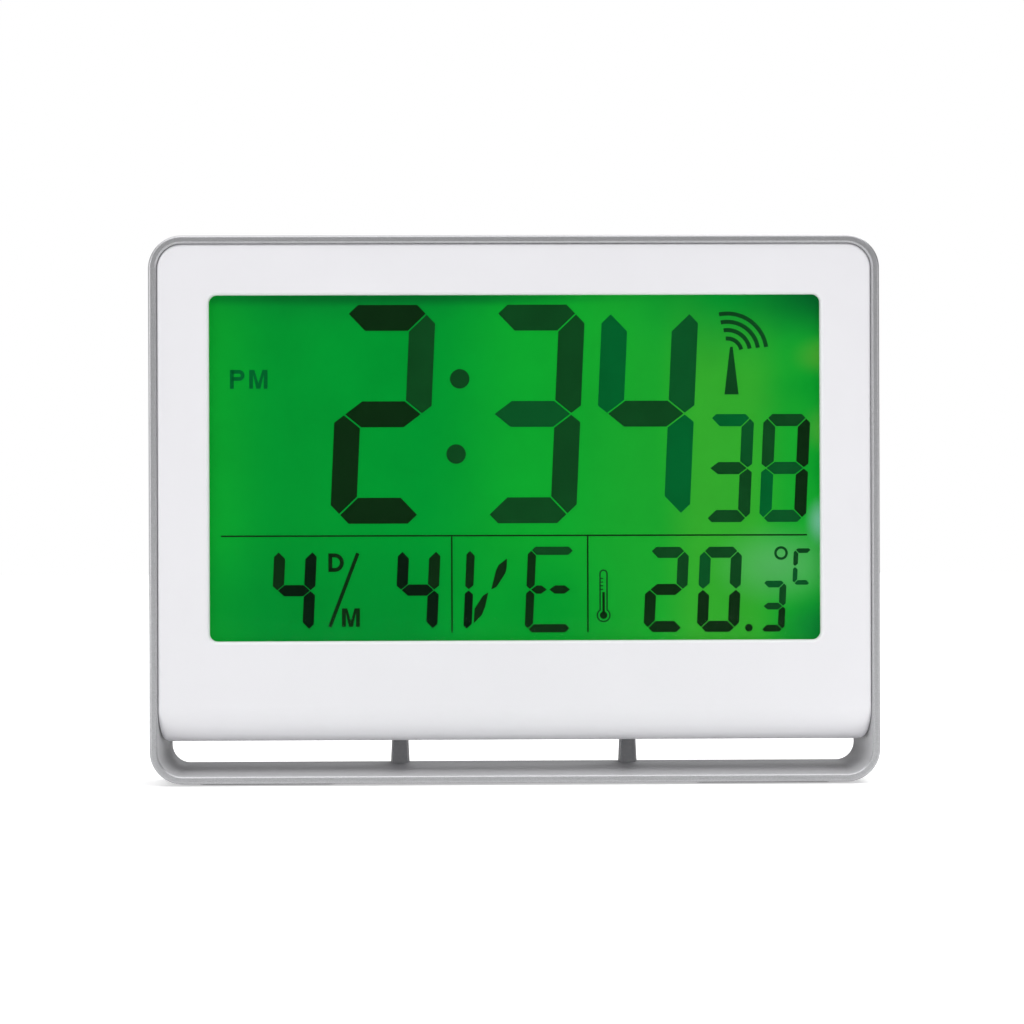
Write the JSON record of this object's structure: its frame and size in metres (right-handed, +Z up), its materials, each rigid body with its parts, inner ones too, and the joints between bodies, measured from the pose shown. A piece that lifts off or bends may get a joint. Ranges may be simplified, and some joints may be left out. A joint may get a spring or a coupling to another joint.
{
  "type": "digital table clock",
  "caption": "Free-standing digital clock: white case with a large green display in an open silver frame on two posts, with rear keys, battery door and fold-out leg.",
  "frame": {"origin": "on the table under the middle of the clock, at the underside of the rubber feet", "axes": "+X to the right seen from the front, +Y from the front to the back, +Z up"},
  "size_m": [0.22, 0.0302, 0.1655],
  "materials": {
    "silver_paint": "satin silver paint on moulded ABS",
    "white_plastic": "moulded white ABS, fine satin",
    "rear_plastic": "moulded white ABS, matt",
    "clear_lens": "clear acrylic, polished",
    "display_green": "liquid-crystal glass, lit green from behind",
    "guide_acrylic": "milky acrylic light guide",
    "rubber": "black rubber, matt",
    "grey_keys": "moulded grey ABS",
    "circuit_board": "green solder mask",
    "black_plastic": "black resin or plastic",
    "steel": "nickel or zinc plated steel",
    "copper_wire": "enamelled copper wire",
    "ferrite": "sintered ferrite, matt",
    "cell_sleeve": "printed film sleeve on a steel can, bare of words",
    "led_resin": "clear lamp resin",
    "ribbon": "grey flat cable"
  },
  "bodies": {
    "clock": {"frame": "silver_paint", "foot_left": "rubber", "foot_right": "rubber", "front_shell": "white_plastic", "rear_housing": "rear_plastic", "window_lens": "clear_lens", "lcd_glass": "display_green", "light_guide": "guide_acrylic", "display_holder": "white_plastic", "zebra_strip": "rubber", "backlight_led_left": "led_resin", "backlight_led_right": "led_resin", "main_board": "circuit_board", "chip_cover": "black_plastic", "crystal_can": "steel", "capacitor": "black_plastic", "radio_board": "circuit_board", "temperature_sensor": "black_plastic", "alarm_switch": "steel", "key_board": "circuit_board", "ribbon_cable": "ribbon", "ferrite_rod": "ferrite", "antenna_coil": "copper_wire", "buzzer": "black_plastic", "battery_upper": "cell_sleeve", "battery_lower": "cell_sleeve", "bridge_contact": "steel", "plus_contact": "steel", "minus_contact": "steel", "leg_pin": "steel", "tact_switch_1": "black_plastic", "tact_switch_2": "black_plastic", "tact_switch_3": "black_plastic", "tact_switch_4": "black_plastic", "tact_switch_5": "black_plastic", "frame_screw_1": "steel", "frame_screw_2": "steel", "frame_screw_3": "steel", "frame_screw_4": "steel", "case_screw_1": "steel", "case_screw_2": "steel", "case_screw_3": "steel", "case_screw_4": "steel", "holder_screw_1": "steel", "holder_screw_2": "steel", "holder_screw_3": "steel", "holder_screw_4": "steel", "board_screw_1": "steel", "board_screw_2": "steel", "key_board_screw_1": "steel", "key_board_screw_2": "steel"},
    "key_mode": {"key_mode": "grey_keys"},
    "key_set": {"key_set": "grey_keys"},
    "key_up": {"key_up": "grey_keys"},
    "key_down": {"key_down": "grey_keys"},
    "key_light": {"key_light": "grey_keys"},
    "alarm_knob": {"alarm_knob": "grey_keys"},
    "battery_door": {"battery_door": "rear_plastic"},
    "stand_leg": {"stand_leg": "rear_plastic"}
  },
  "joints": [
    {"name": "key_mode_press", "type": "slide", "parent": "clock", "child": "key_mode", "axis": [0, -1, 0], "range_m": [0, 0.0008], "stiffness_N_per_m": 1000},
    {"name": "key_set_press", "type": "slide", "parent": "clock", "child": "key_set", "axis": [0, -1, 0], "range_m": [0, 0.0008], "stiffness_N_per_m": 1000},
    {"name": "key_up_press", "type": "slide", "parent": "clock", "child": "key_up", "axis": [0, -1, 0], "range_m": [0, 0.0008], "stiffness_N_per_m": 1000},
    {"name": "key_down_press", "type": "slide", "parent": "clock", "child": "key_down", "axis": [0, -1, 0], "range_m": [0, 0.0008], "stiffness_N_per_m": 1000},
    {"name": "key_light_press", "type": "slide", "parent": "clock", "child": "key_light", "axis": [0, -1, 0], "range_m": [0, 0.0008], "stiffness_N_per_m": 1000},
    {"name": "alarm_knob_slide", "type": "slide", "parent": "clock", "child": "alarm_knob", "axis": [1, 0, 0], "range_m": [0, 0.004]},
    {"name": "battery_door_tilt", "type": "hinge", "parent": "clock", "child": "battery_door", "pos_m": [0.0735, 0.0146, 0.0473], "axis": [1, 0, 0], "range_deg": [0, 60]},
    {"name": "stand_leg_hinge", "type": "hinge", "parent": "clock", "child": "stand_leg", "pos_m": [0, 0.012, 0.11], "axis": [1, 0, 0], "range_deg": [0, 32]}
  ]
}
